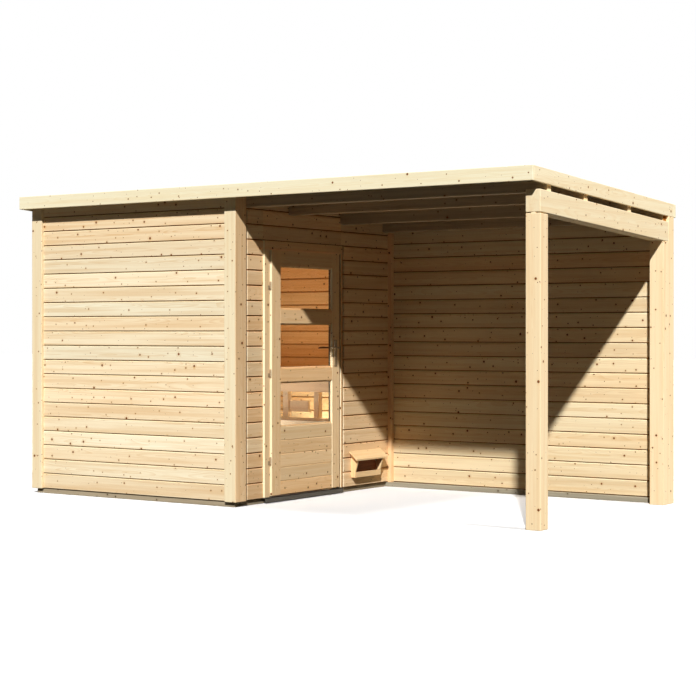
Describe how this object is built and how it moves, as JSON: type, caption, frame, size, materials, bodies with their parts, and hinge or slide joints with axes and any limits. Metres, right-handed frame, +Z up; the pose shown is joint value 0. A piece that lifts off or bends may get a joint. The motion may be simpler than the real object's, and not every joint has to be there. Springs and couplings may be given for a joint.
{
  "type": "outdoor sauna cabin with open annex",
  "caption": "Timber garden sauna: closed board cabin with a glazed swing door and an open annex on posts under one gently sloping flat roof.",
  "frame": {"origin": "ground level under the middle of the roof outline", "axes": "+X along the front from the cabin to the annex, +Y from front to back, +Z up"},
  "size_m": [4.688, 2.299, 2.397],
  "materials": {
    "spruce_boards": "planed natural spruce boards",
    "spruce_posts": "planed natural spruce posts and beam",
    "spruce_trim": "planed natural spruce trim boards",
    "spruce_joists": "sawn natural spruce joists",
    "spruce_door": "planed natural spruce door members",
    "roof_boards": "sawn spruce roof boards",
    "floor_boards": "planed floor boards",
    "bench_wood": "planed pale bench slats",
    "treated_wood": "grey green pressure treated beams",
    "roof_felt": "fine grained bitumen felt",
    "door_glass": "clear safety glass",
    "dark_metal": "dark grey coated profile",
    "dark_steel": "dark coated steel fittings"
  },
  "bodies": {
    "cabin": {"annex_back_wall": "spruce_boards", "annex_post_front": "spruce_posts", "annex_post_rear": "spruce_posts", "bench_legs": "bench_wood", "bench_lower_front": "bench_wood", "bench_lower_seat": "bench_wood", "bench_upper_front": "bench_wood", "bench_upper_seat": "bench_wood", "cabin_back_wall": "spruce_boards", "cabin_floor": "floor_boards", "casing_front": "spruce_trim", "casing_head": "spruce_trim", "casing_rear": "spruce_trim", "corner_batten": "spruce_trim", "corner_post_back_left": "spruce_posts", "corner_post_front_left": "spruce_posts", "corner_post_front_right": "spruce_posts", "door_wall_front": "spruce_boards", "door_wall_rear": "spruce_boards", "door_wall_top": "spruce_boards", "fascia_back": "spruce_trim", "fascia_front": "spruce_trim", "fascia_left": "spruce_trim", "fascia_right": "spruce_trim", "front_wall": "spruce_boards", "hinges_frame": "dark_steel", "joist_1": "spruce_joists", "joist_2": "spruce_joists", "joist_3": "spruce_joists", "joist_4": "spruce_joists", "left_wall": "spruce_boards", "roof_deck": "roof_boards", "roof_felt": "roof_felt", "side_beam": "spruce_posts", "sill_back": "treated_wood", "sill_door_side": "treated_wood", "sill_front": "treated_wood", "sill_left": "treated_wood", "threshold": "dark_metal", "vent_hood": "spruce_trim", "vent_hood_lid": "spruce_trim"},
    "door": {"door_panel": "spruce_door", "door_rail_lower": "spruce_door", "door_rail_middle": "spruce_door", "door_rail_top": "spruce_door", "door_stile_hinge": "spruce_door", "door_stile_lock": "spruce_door", "handle_inside": "dark_steel", "handle_outside": "dark_steel", "hinges_leaf": "dark_steel", "pane_lower": "door_glass", "pane_middle": "door_glass", "pane_upper": "door_glass"}
  },
  "joints": [
    {"name": "door_swing", "type": "hinge", "parent": "cabin", "child": "door", "pos_m": [-0.187, -0.632, 1], "axis": [0, 0, -1], "range_deg": [0, 110]}
  ]
}
